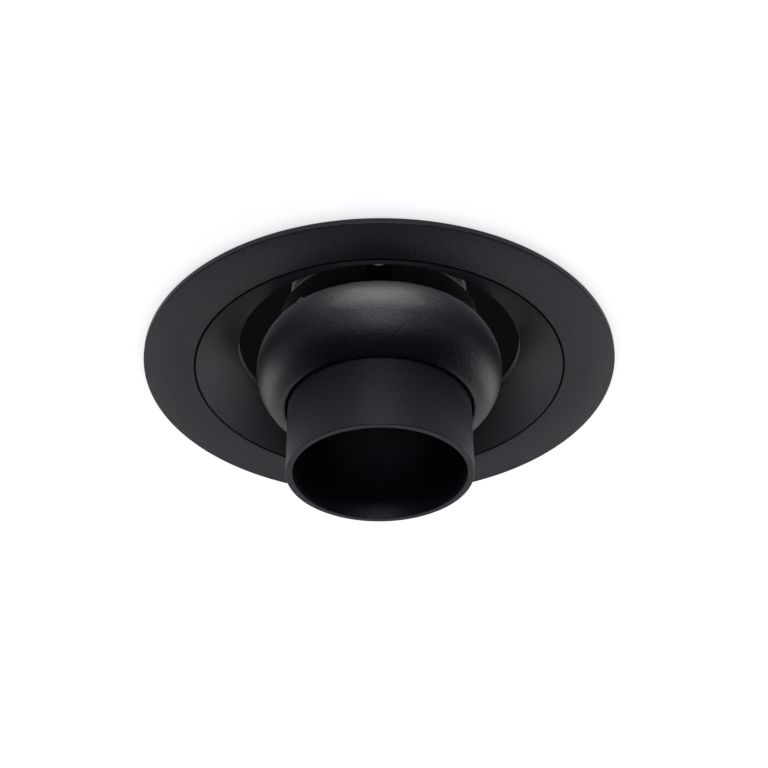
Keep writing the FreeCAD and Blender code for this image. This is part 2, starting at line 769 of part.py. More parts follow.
nodes = {
    "trim_ring": trim_ring(),
    "soffit_gasket": soffit_gasket(),
    "swivel_washer": swivel_washer(),
    "wave_washer": wave_washer(),
    "retaining_ring": retaining_ring(),
    "swivel_stop_pin": swivel_stop_pin(),
    "bracket_screws": bracket_screws(),
    "clip_pivot_pins": group([clip_pin(), turned(clip_pin(), 180)]),
    "swivel_ring": swivel_ring(),
    "ball_shell": ball_shell(),
    "lower_guide_ring": guide_ring(lower_guide_z),
    "upper_guide_ring": guide_ring(upper_guide_z),
    "slide_o_ring": slide_o_ring(),
    "guide_screw": guide_screw(),
    "pivot_screws": pivot_screws(),
    "pivot_washers": pivot_washer(boss_face + seat, pivot_washer_thickness, boss_radius),
    "tension_washers": pivot_washer(ear_inner + ear_thickness + seat, tension_washer_thickness,
                                    pivot_head_radius),
    "snoot_tube": snoot_tube(),
    "stop_ring": stop_ring(),
    "lens_retaining_ring": lens_retaining_ring(),
    "front_glass": front_glass(),
    "glass_seal": glass_seal(),
    "reflector": reflector(),
    "led_holder": led_holder(),
    "led_board": led_board(),
    "led_emitter": led_emitter(),
    "thermal_pad": thermal_pad(),
    "heat_sink": heat_sink(),
    "heat_sink_seal": heat_sink_seal(),
    "heat_sink_screws": heat_sink_screws(),
    "gland_body": gland_body(),
    "gland_seal": gland_seal(),
    "gland_nut": gland_nut(),
}
for name, make in (("clip_bracket", clip_bracket), ("clip_arm", clip_arm),
                   ("clip_spring", clip_spring), ("clip_pad", clip_rubber)):
    piece = make()
    nodes[f"{name}_right"] = piece
    nodes[f"{name}_left"] = turned(piece, 180)

os.makedirs("parts", exist_ok=True)
for name, shape in nodes.items():
    if not shape.isValid():
        print("not valid:", name)
    shape.exportStep(f"parts/{name}.step")
print(len(nodes), "nodes")
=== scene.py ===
import bpy
import json
import math
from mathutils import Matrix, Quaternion, Vector


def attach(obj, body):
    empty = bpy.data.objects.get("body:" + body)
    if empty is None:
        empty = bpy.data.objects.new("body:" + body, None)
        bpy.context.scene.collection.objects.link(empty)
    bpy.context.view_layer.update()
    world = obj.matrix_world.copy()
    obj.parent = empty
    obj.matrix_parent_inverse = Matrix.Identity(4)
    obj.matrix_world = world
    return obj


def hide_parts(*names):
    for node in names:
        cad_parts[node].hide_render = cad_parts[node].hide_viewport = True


# Soffit downlight, seen from below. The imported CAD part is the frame; metres, +Z up into the soffit.

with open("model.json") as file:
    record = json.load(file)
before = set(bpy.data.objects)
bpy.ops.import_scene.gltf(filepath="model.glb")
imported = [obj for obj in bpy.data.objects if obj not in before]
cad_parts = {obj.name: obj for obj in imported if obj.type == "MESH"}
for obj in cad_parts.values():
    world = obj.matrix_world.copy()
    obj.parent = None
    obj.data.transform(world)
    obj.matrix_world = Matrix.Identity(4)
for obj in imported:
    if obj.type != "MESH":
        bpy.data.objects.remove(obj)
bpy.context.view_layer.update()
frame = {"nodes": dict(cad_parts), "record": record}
print("frame loaded:", len(frame["nodes"]), "nodes")

mm = 0.001


# ---- node helpers

def newMaterial(name):
    material = bpy.data.materials.new(name)
    material.use_nodes = True
    nodes = material.node_tree.nodes
    shader = nodes["Principled BSDF"]
    return material, nodes, material.node_tree.links, shader


def objectCoords(nodes, links, stretch=(1, 1, 1)):
    coords = nodes.new("ShaderNodeTexCoord")
    mapping = nodes.new("ShaderNodeMapping")
    mapping.inputs["Scale"].default_value = stretch
    links.new(coords.outputs["Object"], mapping.inputs["Vector"])
    return mapping.outputs["Vector"]


def noise(nodes, links, vector, scale, detail=2.0, roughness=0.5):
    texture = nodes.new("ShaderNodeTexNoise")
    texture.inputs["Scale"].default_value = scale
    texture.inputs["Detail"].default_value = detail
    texture.inputs["Roughness"].default_value = roughness
    links.new(vector, texture.inputs["Vector"])
    return texture.outputs["Fac"]


def cells(nodes, links, vector, scale, feature="F1"):
    texture = nodes.new("ShaderNodeTexVoronoi")
    texture.feature = feature
    texture.inputs["Scale"].default_value = scale
    links.new(vector, texture.inputs["Vector"])
    return texture.outputs["Distance"]


def ramp(nodes, links, factor, stops):
    node = nodes.new("ShaderNodeValToRGB")
    elements = node.color_ramp.elements
    elements[0].position, elements[0].color = stops[0][0], (*stops[0][1], 1)
    elements[1].position, elements[1].color = stops[-1][0], (*stops[-1][1], 1)
    for position, colour in stops[1:-1]:
        elements.new(position).color = (*colour, 1)
    links.new(factor, node.inputs["Fac"])
    return node.outputs["Color"]


def span(nodes, links, factor, low, high):
    node = nodes.new("ShaderNodeMapRange")
    node.inputs["To Min"].default_value = low
    node.inputs["To Max"].default_value = high
    links.new(factor, node.inputs["Value"])
    return node.outputs["Result"]


def bump(nodes, links, shader, height, depth, strength=1.0):
    node = nodes.new("ShaderNodeBump")
    node.inputs["Strength"].default_value = strength
    node.inputs["Distance"].default_value = depth
    links.new(height, node.inputs["Height"])
    links.new(node.outputs["Normal"], shader.inputs["Normal"])


def reckon(nodes, links, operation, first, second):
    # a Math node, whose second value is a socket or a number
    node = nodes.new("ShaderNodeMath")
    node.operation = operation
    links.new(first, node.inputs[0])
    if isinstance(second, float):
        node.inputs[1].default_value = second
    else:
        links.new(second, node.inputs[1])
    return node.outputs["Value"]


def mixed(nodes, links, factor, first, second):
    node = nodes.new("ShaderNodeMixShader")
    links.new(factor, node.inputs["Fac"])
    links.new(first, node.inputs[1])
    links.new(second, node.inputs[2])
    return node.outputs["Shader"]


# ---- finishes

blackCoat = {"dark": (0.0036, 0.0043, 0.0102), "pale": (0.0052, 0.0059, 0.0130), "gloss": (0.89, 0.91, 1.0),
             "rough": (0.35, 0.55), "grain": 1900, "depth": 0.00012, "clouds": 45}
# painted shade: a darker and duller copy of the black coat for the ball's collar, standing in for the shade in the
# gap round the ball
innerBlack = {**blackCoat, "dark": (0.0020, 0.0022, 0.0036), "pale": (0.0030, 0.0033, 0.0050),
              "gloss": (0.26, 0.27, 0.30), "rough": (0.70, 0.85)}
metals = {
    "spring_steel": {"name": "springSteel", "dark": (0.33, 0.33, 0.34), "pale": (0.48, 0.48, 0.50),
                     "rough": (0.22, 0.36), "stretch": (1, 1, 6), "grain": 1400, "depth": 0.00002},
    "zinc_steel": {"name": "zincSteel", "dark": (0.46, 0.47, 0.50), "pale": (0.62, 0.63, 0.65),
                   "rough": (0.28, 0.46), "stretch": (1, 1, 1), "grain": 2400, "depth": 0.00002},
}
plains = {
    "nylon": {"name": "nylon", "dark": (0.68, 0.67, 0.62), "pale": (0.78, 0.77, 0.73),
              "rough": (0.42, 0.55), "grain": 2200, "depth": 0.00003},
    "silicone": {"name": "silicone", "dark": (0.030, 0.030, 0.031), "pale": (0.050, 0.050, 0.052),
                 "rough": (0.60, 0.75), "grain": 2600, "depth": 0.00003},
    "white_plastic": {"name": "whitePlastic", "dark": (0.78, 0.78, 0.75), "pale": (0.84, 0.84, 0.82),
                      "rough": (0.40, 0.50), "grain": 3000, "depth": 0.00002},
    "white_board": {"name": "whiteBoard", "dark": (0.76, 0.77, 0.75), "pale": (0.84, 0.85, 0.83),
                    "rough": (0.30, 0.40), "grain": 4000, "depth": 0.00001, "clouds": 500},
    "phosphor": {"name": "phosphor", "dark": (0.78, 0.56, 0.10), "pale": (0.88, 0.68, 0.18),
                 "rough": (0.25, 0.40), "grain": 3200, "depth": 0.00003, "clouds": 900},
    "grey_pad": {"name": "greyPad", "dark": (0.36, 0.37, 0.39), "pale": (0.48, 0.49, 0.51),
                 "rough": (0.75, 0.90), "grain": 3600, "depth": 0.00004, "clouds": 1500},
    "black_anodised": {"name": "blackAnodised", "dark": (0.010, 0.010, 0.012), "pale": (0.018, 0.018, 0.021),
                       "rough": (0.30, 0.44), "grain": 3400, "depth": 0.00002, "clouds": 60},
    "black_plastic": {"name": "blackPlastic", "dark": (0.014, 0.014, 0.015), "pale": (0.024, 0.024, 0.026),
                      "rough": (0.38, 0.50), "grain": 2600, "depth": 0.00003},
}
foam = {"dark": (0.008, 0.008, 0.009), "pale": (0.035, 0.035, 0.037), "rough": 0.95, "pores": 1800, "depth": 0.00012}
glass = {"dark": (0.93, 0.97, 0.96), "pale": (0.97, 0.99, 0.98), "rough": (0.01, 0.05), "bend": 1.5, "haze": 90}
brightMetal = {"dark": (0.80, 0.81, 0.83), "pale": (0.90, 0.91, 0.92), "rough": (0.10, 0.18), "dimples": 520,
               "depth": 0.0003}


def shades(nodes, links, shader, factor, s, low=0.3, high=0.7):
    links.new(ramp(nodes, links, factor, [(low, s["dark"]), (high, s["pale"])]), shader.inputs["Base Color"])


def makeBlackCoat(name, s):
    material, nodes, links, shader = newMaterial(name)
    shader.inputs["Specular Tint"].default_value = (*s["gloss"], 1)
    vector = objectCoords(nodes, links)
    grain = noise(nodes, links, vector, s["grain"], 3.0, 0.6)
    shades(nodes, links, shader, noise(nodes, links, vector, s["clouds"]), s)
    links.new(span(nodes, links, grain, *s["rough"]), shader.inputs["Roughness"])
    bump(nodes, links, shader, grain, s["depth"])
    return material


def makeMetal(s):
    material, nodes, links, shader = newMaterial(s["name"])
    shader.inputs["Metallic"].default_value = 1.0
    grain = noise(nodes, links, objectCoords(nodes, links, s["stretch"]), s["grain"], 4.0, 0.6)
    shades(nodes, links, shader, noise(nodes, links, objectCoords(nodes, links), 160, 3.0), s)
    links.new(span(nodes, links, grain, *s["rough"]), shader.inputs["Roughness"])
    bump(nodes, links, shader, grain, s["depth"], 0.5)
    return material


def makePlain(s):
    material, nodes, links, shader = newMaterial(s["name"])
    vector = objectCoords(nodes, links)
    grain = noise(nodes, links, vector, s["grain"], 3.0, 0.55)
    shades(nodes, links, shader, noise(nodes, links, vector, s.get("clouds", 120)), s)
    links.new(span(nodes, links, grain, *s["rough"]), shader.inputs["Roughness"])
    bump(nodes, links, shader, grain, s["depth"], 0.6)
    return material


def makeFoam(s):
    material, nodes, links, shader = newMaterial("foam")
    pores = cells(nodes, links, objectCoords(nodes, links), s["pores"])
    shades(nodes, links, shader, pores, s, 0.1, 0.6)
    shader.inputs["Roughness"].default_value = s["rough"]
    bump(nodes, links, shader, pores, s["depth"], 0.8)
    return material


def makeGlass(s):
    material, nodes, links, shader = newMaterial("clearGlass")
    shader.inputs["Transmission Weight"].default_value = 1.0
    shader.inputs["IOR"].default_value = s["bend"]
    haze = noise(nodes, links, objectCoords(nodes, links), s["haze"], 3.0)
    shades(nodes, links, shader, haze, s, 0.2, 0.8)
    links.new(span(nodes, links, haze, *s["rough"]), shader.inputs["Roughness"])
    return material


def makeBrightMetal(s):
    material, nodes, links, shader = newMaterial("brightAluminium")
    shader.inputs["Metallic"].default_value = 1.0
    dimples = cells(nodes, links, objectCoords(nodes, links), s["dimples"], "SMOOTH_F1")
    shades(nodes, links, shader, dimples, s, 0.1, 0.7)
    links.new(span(nodes, links, dimples, *s["rough"]), shader.inputs["Roughness"])
    bump(nodes, links, shader, dimples, s["depth"], 0.5)
    return material


finishes = {
    "black_coat": makeBlackCoat("blackCoat", blackCoat),
    "painted_shade_coat": makeBlackCoat("innerBlack", innerBlack),
    "foam": makeFoam(foam),
    "clear_glass": makeGlass(glass),
    "bright_aluminium": makeBrightMetal(brightMetal),
}
for name, settings in metals.items():
    finishes[name] = makeMetal(settings)
for name, settings in plains.items():
    finishes[name] = makePlain(settings)

slotOf = {row["node"]: row["material_slot"] for row in frame["record"]["subparts"]}
for name, node in frame["nodes"].items():
    node.data.materials.clear()
    node.data.materials.append(finishes[slotOf[name]])
print("finishes set")


# ---- modelling helpers

weld = 0.001  # mm, vertices nearer than this are one
apart = 0.02  # mm between faces that would share a plane
fewSides, someSides, manySides = 32, 48, 64  # of rods


def onlyThis(piece):
    bpy.ops.object.select_all(action="DESELECT")
    piece.select_set(True)
    bpy.context.view_layer.objects.active = piece


def selectWhere(piece, wanted):
    # selects the vertices that pass the test, and stays in edit mode
    onlyThis(piece)
    bpy.ops.object.mode_set(mode="EDIT")
    bpy.ops.mesh.select_all(action="DESELECT")
    bpy.ops.object.mode_set(mode="OBJECT")
    for vertex in piece.data.vertices:
        vertex.select = wanted(vertex.co)
    bpy.ops.object.mode_set(mode="EDIT")


def settle(piece):
    # puts a piece's place and turn into its mesh
    onlyThis(piece)
    bpy.ops.object.transform_apply(location=True, rotation=True, scale=True)


def arc(centre, radius, start, end, count):
    angles = [math.radians(start + (end - start) * i / count) for i in range(count + 1)]
    return [(centre[0] + radius * math.cos(a), centre[1] + radius * math.sin(a)) for a in angles]


def spun(name, outline, steps=192):
    # one vertex, extruded round the outline (radius, height, in mm) and spun about the light's axis
    bpy.ops.object.select_all(action="DESELECT")
    bpy.ops.mesh.primitive_plane_add(size=mm, location=(outline[0][0] * mm, 0, outline[0][1] * mm))
    piece = bpy.context.object
    piece.name = piece.data.name = name
    settle(piece)
    bpy.ops.object.mode_set(mode="EDIT")
    bpy.ops.mesh.select_all(action="SELECT")
    bpy.ops.mesh.merge(type="CENTER")
    for (r0, z0), (r1, z1) in zip(outline, outline[1:] + outline[:1]):
        step = ((r1 - r0) * mm, 0, (z1 - z0) * mm)
        bpy.ops.mesh.extrude_vertices_move(TRANSFORM_OT_translate={"value": step})
    bpy.ops.mesh.select_all(action="SELECT")
    bpy.ops.mesh.remove_doubles(threshold=weld * mm)
    bpy.ops.mesh.spin(steps=steps, angle=2 * math.pi, center=(0, 0, 0), axis=(0, 0, 1))
    bpy.ops.mesh.select_all(action="SELECT")
    bpy.ops.mesh.remove_doubles(threshold=weld * mm)
    bpy.ops.mesh.delete_loose()
    bpy.ops.mesh.select_all(action="SELECT")
    bpy.ops.mesh.normals_make_consistent(inside=False)
    bpy.ops.object.mode_set(mode="OBJECT")
    return piece


def soften(piece, width, segments=3, above=30):
    # rounds every edge sharper than the given angle
    onlyThis(piece)
    edges = piece.modifiers.new("edges", "BEVEL")
    edges.width = width * mm
    edges.segments = segments
    edges.limit_method = "ANGLE"
    edges.angle_limit = math.radians(above)
    edges.use_clamp_overlap = True
    bpy.ops.object.modifier_apply(modifier="edges")


def combine(piece, tool, operation):
    onlyThis(piece)
    step = piece.modifiers.new("step", "BOOLEAN")
    step.operation = operation
    step.solver = "EXACT"
    step.object = tool
    bpy.ops.object.modifier_apply(modifier="step")
    bpy.data.objects.remove(tool)


def rod(radius, start, way, length, vertices=someSides):
    # a bar from a start point along a direction, all in mm
    bpy.ops.object.select_all(action="DESELECT")
    way = Vector(way).normalized()
    middle = (Vector(start) + way * length / 2) * mm
    turn = way.to_track_quat("Z", "Y").to_euler()
    bpy.ops.mesh.primitive_cylinder_add(vertices=vertices, radius=radius * mm, depth=length * mm,
                                        location=middle, rotation=turn)
    bar = bpy.context.object
    settle(bar)
    return bar


def block(low, high):
    bpy.ops.object.select_all(action="DESELECT")
    low, high = Vector(low) * mm, Vector(high) * mm
    bpy.ops.mesh.primitive_cube_add(size=1, location=(low + high) / 2, scale=high - low)
    solid = bpy.context.object
    settle(solid)
    return solid


def around(angle, radius, height):
    a = math.radians(angle)
    return Vector((radius * math.cos(a), radius * math.sin(a), height)), Vector((math.cos(a), math.sin(a), 0))


def finished(piece, body, node, slot, smooth=35):
    onlyThis(piece)
    bpy.ops.object.shade_smooth_by_angle(angle=math.radians(smooth))
    piece.data.materials.clear()
    piece.data.materials.append(finishes[slot])
    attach(piece, body)
    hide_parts(node)
    bpy.ops.object.select_all(action="DESELECT")
    print("made", piece.name, len(piece.data.polygons), "faces")


# ---- trim ring: flange and neck

trimRing = {"bore": 56.0, "rim": 71.0, "face": -2.6, "ledge": -0.6, "neckIn": 57.3, "neckOut": 59.0, "top": 13.0,
            "steps": 256, "edge": 0.32, "grooveDepth": 0.85, "grooveLow": 2.0, "grooveHigh": 3.3,
            "padFace": 59.4, "padHalf": 7.3, "padLow": 1.5, "screwHeight": 7.0, "screwSide": 3.5, "screwRadius": 1.5,
            "pinAngle": 45, "pinHeight": 4.8, "pinRadius": 1.25, "cutBack": 2, "cutLength": 6}


def makeTrimRing(s):
    groove = s["neckIn"] + s["grooveDepth"]
    ring = spun("trimRing", [
        (s["bore"], s["face"]), (s["rim"], s["face"]), (s["rim"], s["ledge"]), (s["neckOut"], s["ledge"]),
        (s["neckOut"], s["top"]), (s["neckIn"], s["top"]), (s["neckIn"], s["grooveHigh"]),
        (groove, s["grooveHigh"]), (groove, s["grooveLow"]), (s["neckIn"], s["grooveLow"]),
        (s["neckIn"], s["ledge"]), (s["bore"], s["ledge"])], s["steps"])
    soften(ring, s["edge"])
    for side in (-1, 1):
        low, high = sorted((side * (s["neckIn"] + s["neckOut"]) / 2, side * s["padFace"]))
        combine(ring, block((low, -s["padHalf"], s["padLow"]), (high, s["padHalf"], s["top"] - apart)), "UNION")
        for across in (-1, 1):
            start = (side * (s["neckIn"] - s["cutBack"]), across * s["screwSide"], s["screwHeight"])
            combine(ring, rod(s["screwRadius"], start, (side, 0, 0), s["cutLength"], fewSides), "DIFFERENCE")
    start, way = around(s["pinAngle"], s["neckIn"] - s["cutBack"], s["pinHeight"])
    combine(ring, rod(s["pinRadius"], start, way, s["cutLength"], fewSides), "DIFFERENCE")
    finished(ring, "trim", "trim_ring", "black_coat")


# ---- swivel ring: the shallow cone, its ears and its stop dog

swivelRing = {"rim": 55.5, "face": -2.6, "inner": 43.0, "innerLow": 6.0, "innerTop": 9.0, "rimWall": 2.2,
              "skin": 2.43, "lip": 57.1, "lipLow": -0.15, "lipTop": 1.45, "steps": 256, "edge": 0.28, "sharp": 25,
              "earFrom": 42.4, "earThick": 2.8, "earRadius": 5.6, "earFoot": 6.6, "earEdge": 0.3, "belowAxis": 0.01,
              "axis": 11.5, "holeRadius": 2.55, "dogAngle": 225, "dogFrom": 51.9, "dogTo": 55.4, "dogHalf": 1.5,
              "dogTop": 6.05, "dogEdge": 0.25}


def makeSwivelRing(s):
    slope = (s["innerLow"] - s["face"]) / (s["rim"] - s["inner"])
    wallOut = s["inner"] + s["rimWall"]
    wallLow = s["face"] + slope * (s["rim"] - wallOut) + s["skin"]
    lipIn = s["rim"] - (s["lipTop"] - s["face"] - s["skin"]) / slope
    ring = spun("swivelRing", [
        (s["rim"], s["face"]), (s["inner"], s["innerLow"]), (s["inner"], s["innerTop"]), (wallOut, s["innerTop"]),
        (wallOut, wallLow), (lipIn, s["lipTop"]), (s["lip"], s["lipTop"]), (s["lip"], s["lipLow"]),
        (s["rim"], s["lipLow"])], s["steps"])
    soften(ring, s["edge"], above=s["sharp"])
    for side in (-1, 1):
        ear = rod(s["earRadius"], (0, side * s["earFrom"], s["axis"]), (0, side, 0), s["earThick"], manySides)
        selectWhere(ear, lambda point: point.z < (s["axis"] - s["belowAxis"]) * mm)
        bpy.ops.transform.resize(value=(1, 1, 0), center_override=(0, 0, s["earFoot"] * mm))
        bpy.ops.object.mode_set(mode="OBJECT")
        soften(ear, s["earEdge"])
        combine(ring, ear, "UNION")
        hole = rod(s["holeRadius"], (0, side * (s["earFrom"] - 1), s["axis"]), (0, side, 0), s["earThick"] + 2)
        combine(ring, hole, "DIFFERENCE")
    dog = block((s["dogFrom"], -s["dogHalf"], s["lipLow"] + apart), (s["dogTo"], s["dogHalf"], s["dogTop"]))
    soften(dog, s["dogEdge"])
    dog.rotation_euler = (0, 0, math.radians(s["dogAngle"]))
    settle(dog)
    combine(ring, dog, "UNION")
    finished(ring, "swivel", "swivel_ring", "black_coat")


# ---- ball: a donut-shaped shell and the collar in it that the snoot slides in

ballShell = {"circle": 21.7, "height": -1.8, "section": 15.5, "wall": 2.0, "crest": 35, "lip": 29.0,
             "collarIn": 28.15, "collarOut": 30.6, "collarFoot": -10.4, "collarTop": 18.0, "groove": 29.1,
             "ringHeight": 3.0, "ringSlack": 0.05, "lowerRing": -8.3, "upperRing": 12.5, "sealHeight": -0.8,
             "sealHalf": 0.95, "sealGroove": 29.45, "bossRadius": 4.6, "bossEnd": 41.5, "axis": 11.5, "edge": 0.3,
             "screwAngle": 225, "screwHeight": 8.0, "screwRadius": 1.5, "cutLength": 6, "steps": 224,
             "skinSteps": 36, "liningSteps": 28}


def makeBallShell(s):
    centre = (s["circle"], s["height"])
    inner = s["section"] - s["wall"]
    mouth = -math.degrees(math.acos((s["lip"] - s["circle"]) / s["section"]))
    meet = -math.degrees(math.acos((s["collarOut"] - s["circle"]) / inner))
    skin = arc(centre, s["section"], mouth, s["crest"], s["skinSteps"])
    lining = arc(centre, inner, s["crest"], meet, s["liningSteps"])
    foot = [(s["collarOut"], s["collarFoot"]), (s["collarIn"], s["collarFoot"]), (s["collarIn"], skin[0][1])]
    shell = spun("ballShell", skin + lining + foot, s["steps"])
    soften(shell, s["edge"])
    finished(shell, "ball", "ball_shell", "black_coat")


def makeBallCollar(s):
    bore = [(s["collarOut"], s["collarFoot"]), (s["collarOut"], s["collarTop"]), (s["collarIn"], s["collarTop"])]
    slack = s["ringSlack"]
    for low, high, depth in ((s["upperRing"] - slack, s["upperRing"] + s["ringHeight"] + slack, s["groove"]),
                             (s["sealHeight"] - s["sealHalf"], s["sealHeight"] + s["sealHalf"], s["sealGroove"]),
                             (s["lowerRing"] - slack, s["lowerRing"] + s["ringHeight"] + slack, s["groove"])):
        bore += [(s["collarIn"], high), (depth, high), (depth, low), (s["collarIn"], low)]
    collar = spun("ballCollar", bore + [(s["collarIn"], s["collarFoot"])], s["steps"])
    soften(collar, s["edge"])
    for side in (-1, 1):
        start = (0, side * (s["collarOut"] - 1), s["axis"])
        boss = rod(s["bossRadius"], start, (0, side, 0), s["bossEnd"] - s["collarOut"] + 1, manySides)
        soften(boss, s["edge"])
        combine(collar, boss, "UNION")
    start, way = around(s["screwAngle"], s["collarIn"] - 1, s["screwHeight"])
    combine(collar, rod(s["screwRadius"], start, way, s["cutLength"], fewSides), "DIFFERENCE")
    finished(collar, "ball", "ball_shell", "black_coat")
    collar.data.materials[0] = finishes["painted_shade_coat"]  # painted shade: a darker, duller copy of the coat, so the gap round the ball stays dark


# ---- snoot: the plain tube with its guide slot

snootTube = {"radius": 27.5, "bore": 25.5, "mouth": -37.8, "top": 24.35, "flangeLow": 21.85, "flangeIn": 20.0,
             "grooveIn": 26.9, "grooveLow": 18.25, "grooveHigh": 19.55, "steps": 224, "edge": 0.38, "edgeSteps": 4,
             "slotAngle": 225, "slotLow": -12.0, "slotHigh": 8.0, "slotHalf": 1.55, "slotCut": 4, "slotSides": 40,
             "belowMiddle": 0.01}


def makeSnootTube(s):
    tube = spun("snootTube", [
        (s["bore"], s["mouth"]), (s["radius"], s["mouth"]), (s["radius"], s["grooveLow"]),
        (s["grooveIn"], s["grooveLow"]), (s["grooveIn"], s["grooveHigh"]), (s["radius"], s["grooveHigh"]),
        (s["radius"], s["top"]), (s["flangeIn"], s["top"]), (s["flangeIn"], s["flangeLow"]),
        (s["bore"], s["flangeLow"])], s["steps"])
    soften(tube, s["edge"], s["edgeSteps"])
    start, way = around(s["slotAngle"], s["bore"] - 1, s["slotLow"])
    slot = rod(s["slotHalf"], start, way, s["slotCut"], s["slotSides"])
    selectWhere(slot, lambda point: point.z > (s["slotLow"] - s["belowMiddle"]) * mm)
    bpy.ops.transform.translate(value=(0, 0, (s["slotHigh"] - s["slotLow"]) * mm))
    bpy.ops.object.mode_set(mode="OBJECT")
    combine(tube, slot, "DIFFERENCE")
    finished(tube, "snoot", "snoot_tube", "black_coat")


# ---- soffit gasket: a foam ring that bulges a little where it is pressed. It reaches out nearly to the flange's rim so its dark edge shows under the flange: partly the real gasket, partly painted shade standing in for the contact shadow there

soffitGasket = {"inner": 63.0, "outer": 70.3, "low": -0.6, "high": 0.0, "steps": 224, "bulgeSteps": 8, "smooth": 50}


def makeSoffitGasket(s):
    half = (s["high"] - s["low"]) / 2
    bulge = arc((s["outer"] - half, s["low"] + half), half, -90, 90, s["bulgeSteps"])
    ring = spun("soffitGasket", [(s["inner"], s["low"])] + bulge + [(s["inner"], s["high"])], s["steps"])
    finished(ring, "trim", "soffit_gasket", "foam", s["smooth"])


makeTrimRing(trimRing)
makeSoffitGasket(soffitGasket)
makeSwivelRing(swivelRing)
makeBallShell(ballShell)
makeBallCollar(ballShell)
makeSnootTube(snootTube)
print("black pieces made")


# ---- heat sink: a base with a core and thin rounded fins

heatSink = {"radius": 27.5, "spigot": 15.5, "spigotLow": 18.85, "low": 24.95, "base": 28.95, "core": 9.0,
            "coreTop": 44.35, "finTop": 52.95, "fins": 20, "finHalf": 0.8, "finEdge": 0.45, "finFoot": 1.5,
            "finBack": 0.06, "well": 10.5, "wellSides": 96, "leadBore": 3.8, "screwCircle": 22.8, "screwBore": 3.2,
            "screwCount": 3, "screwAngle": 30, "steps": 160, "edge": 0.4}


def makeHeatSink(s):
    sink = spun("heatSink", [
        (s["leadBore"], s["spigotLow"]), (s["spigot"], s["spigotLow"]), (s["spigot"], s["low"]),
        (s["radius"], s["low"]), (s["radius"], s["base"]), (s["core"], s["base"]), (s["core"], s["coreTop"]),
        (s["leadBore"], s["coreTop"])], s["steps"])
    soften(sink, s["edge"])
    fin = block((s["core"] - s["finHalf"], -s["finHalf"], s["base"] - s["finFoot"]),
                (s["radius"] - s["finBack"], s["finHalf"], s["finTop"]))
    soften(fin, s["finEdge"])
    fins = [fin]
    for index in range(1, s["fins"]):
        onlyThis(fin)
        bpy.ops.object.duplicate()
        copy = bpy.context.object
        copy.rotation_euler = (0, 0, 2 * math.pi * index / s["fins"])
        settle(copy)
        fins.append(copy)
    for copy in fins:
        copy.select_set(True)
    bpy.context.view_layer.objects.active = fin
    bpy.ops.object.join()
    height = s["finTop"] - s["coreTop"] + 1
    combine(fin, rod(s["well"], (0, 0, s["coreTop"]), (0, 0, 1), height, s["wellSides"]), "DIFFERENCE")
    for index in range(s["screwCount"]):
        start, way = around(s["screwAngle"] + 360 * index / s["screwCount"], s["screwCircle"], s["base"])
        combine(fin, rod(s["screwBore"], start, (0, 0, 1), s["finTop"] - s["base"] + 1), "DIFFERENCE")
    combine(sink, fin, "UNION")
    finished(sink, "snoot", "heat_sink", "black_anodised")


# ---- reflector: a faceted bowl that opens downwards

reflector = {"mouth": (23.85, 3.65), "belly": (18.925, 10.2), "neck": (8.8, 15.55), "backNeck": (10.72, 15.55),
             "backBelly": (20.125, 10.68), "backMouth": (24.81, 4.85), "rim": 25.45, "facets": 48, "bands": 7,
             "smooth": 1}


def arcThrough(a, b, c, count):
    # an arc by its two ends and a point between them
    (ax, ay), (bx, by), (cx, cy) = a, b, c
    d = 2 * (ax * (by - cy) + bx * (cy - ay) + cx * (ay - by))
    x = ((ax**2 + ay**2) * (by - cy) + (bx**2 + by**2) * (cy - ay) + (cx**2 + cy**2) * (ay - by)) / d
    y = ((ax**2 + ay**2) * (cx - bx) + (bx**2 + by**2) * (ax - cx) + (cx**2 + cy**2) * (bx - ax)) / d
    first, last = (math.degrees(math.atan2(p[1] - y, p[0] - x)) for p in (a, c))
    return arc((x, y), math.hypot(ax - x, ay - y), first, last, count)


def makeReflectorBowl(s):
    outline = arcThrough(s["mouth"], s["belly"], s["neck"], s["bands"])
    outline += arcThrough(s["backNeck"], s["backBelly"], s["backMouth"], s["bands"])
    outline += [(s["rim"], s["backMouth"][1]), (s["rim"], s["mouth"][1])]
    bowl = spun("reflectorBowl", outline, s["facets"])
    finished(bowl, "snoot", "reflector", "bright_aluminium", s["smooth"])


# ---- light source: a gel dome inside a pale dam

lightSource = {"low": 16.05, "top": 16.65, "dam": 7.5, "damWall": 0.7, "edge": 0.12, "sag": 0.2, "sagSteps": 6,
               "steps": 96}


def makeLightSource(s):
    gel, foot = s["dam"] - s["damWall"], s["low"] + apart
    dam = spun("emitterDam", [(gel, foot), (s["dam"], foot), (s["dam"], s["top"]), (gel, s["top"])], s["steps"])
    soften(dam, s["edge"])
    finished(dam, "snoot", "led_emitter", "white_plastic")
    angles = [math.pi / 2 * i / s["sagSteps"] for i in range(s["sagSteps"])]
    sag = [(gel * math.cos(a), s["low"] + s["sag"] - s["sag"] * math.sin(a)) for a in angles]
    dome = spun("emitterGel", sag + [(0, s["low"]), (0, s["top"]), (gel, s["top"])], s["steps"])
    finished(dome, "snoot", "led_emitter", "phosphor")


# ---- clip pads: ribbed rubber sleeves on the arms

clipPad = {"from": 25.6, "to": 35.0, "half": 7.1, "low": -4.65, "high": -1.45, "edge": 0.32, "grooves": 5,
           "grooveWidth": 0.8, "grooveDepth": 0.5, "pocketTo": 34.05, "pocketHalf": 6.05, "pocketLow": -3.6,
           "pocketHigh": -2.5, "slope": 26, "hinge": (61.1, 0, 20)}


